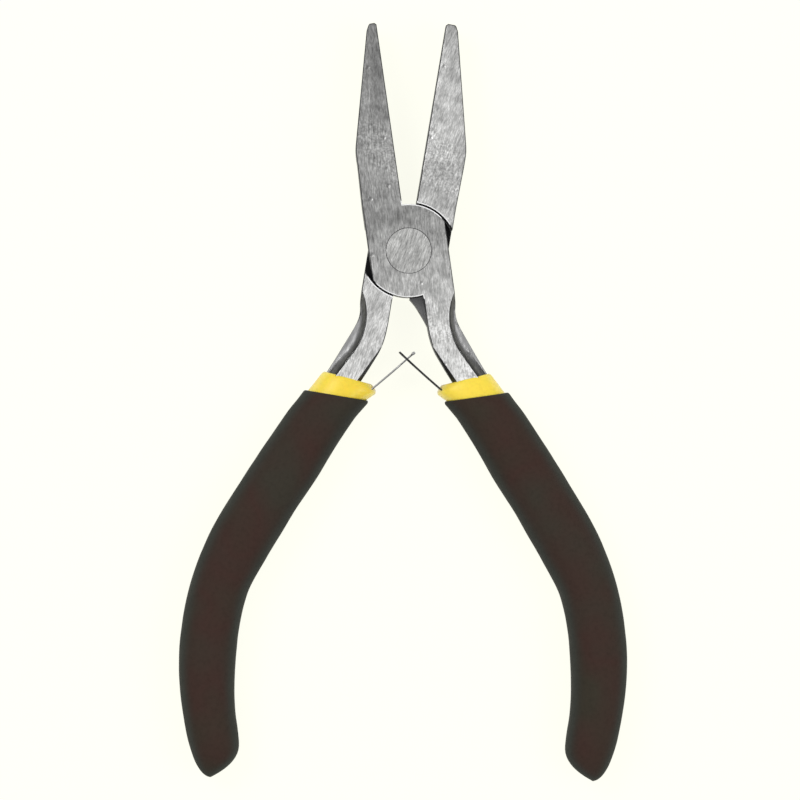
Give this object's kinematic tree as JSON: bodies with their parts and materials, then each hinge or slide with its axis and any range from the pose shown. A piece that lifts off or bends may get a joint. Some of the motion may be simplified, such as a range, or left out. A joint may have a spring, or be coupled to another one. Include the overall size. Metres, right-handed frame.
{
  "type": "flat nose pliers",
  "caption": "Small pliers with tapered flat jaws, a riveted lap joint, crossing leaf return springs and curved dipped grips.",
  "frame": {"origin": "on the joint rivet's axis, at the joint's flat rear face", "axes": "+Y towards the jaw tips along the axis of symmetry, +Z out of the front face along the rivet, +X to the right seen from the front"},
  "size_m": [0.073, 0.123, 0.009],
  "materials": {
    "forged_steel": "ground satin, with small pits",
    "rivet_steel": "ground flush, satin",
    "spring_steel": "dark rolled strip",
    "yellow_dip": "smooth dipped vinyl, semi-gloss",
    "black_dip": "dipped vinyl, matte"
  },
  "bodies": {
    "front_half": {"front_half": "forged_steel", "joint_rivet": "rivet_steel", "right_spring_foot": "spring_steel", "right_spring_rivet": "rivet_steel", "right_inner_sleeve": "yellow_dip", "right_grip": "black_dip"},
    "rear_half": {"rear_half": "forged_steel", "left_spring_foot": "spring_steel", "left_spring_rivet": "rivet_steel", "left_inner_sleeve": "yellow_dip", "left_grip": "black_dip"},
    "left_spring": {"left_spring_blade": "spring_steel"},
    "right_spring": {"right_spring_blade": "spring_steel"}
  },
  "joints": [
    {"name": "pivot", "type": "hinge", "parent": "front_half", "child": "rear_half", "pos_m": [0, 0, 0.0042], "axis": [0, 0, 1], "range_deg": [-7, 17.3], "stiffness_Nm_per_rad": 0.9},
    {"name": "left_spring_flex", "type": "hinge", "parent": "rear_half", "child": "left_spring", "pos_m": [-0.00527, -0.02218, 0.0042], "axis": [0, 0, 1], "range_deg": [-11, 26]},
    {"name": "right_spring_flex", "type": "hinge", "parent": "front_half", "child": "right_spring", "pos_m": [0.00527, -0.02218, 0.0042], "axis": [0, 0, 1], "range_deg": [-26, 11]}
  ],
  "couplings": [
    {"joint": "left_spring_flex", "follows": "pivot", "ratio": 1.44},
    {"joint": "right_spring_flex", "follows": "pivot", "ratio": -1.44}
  ]
}
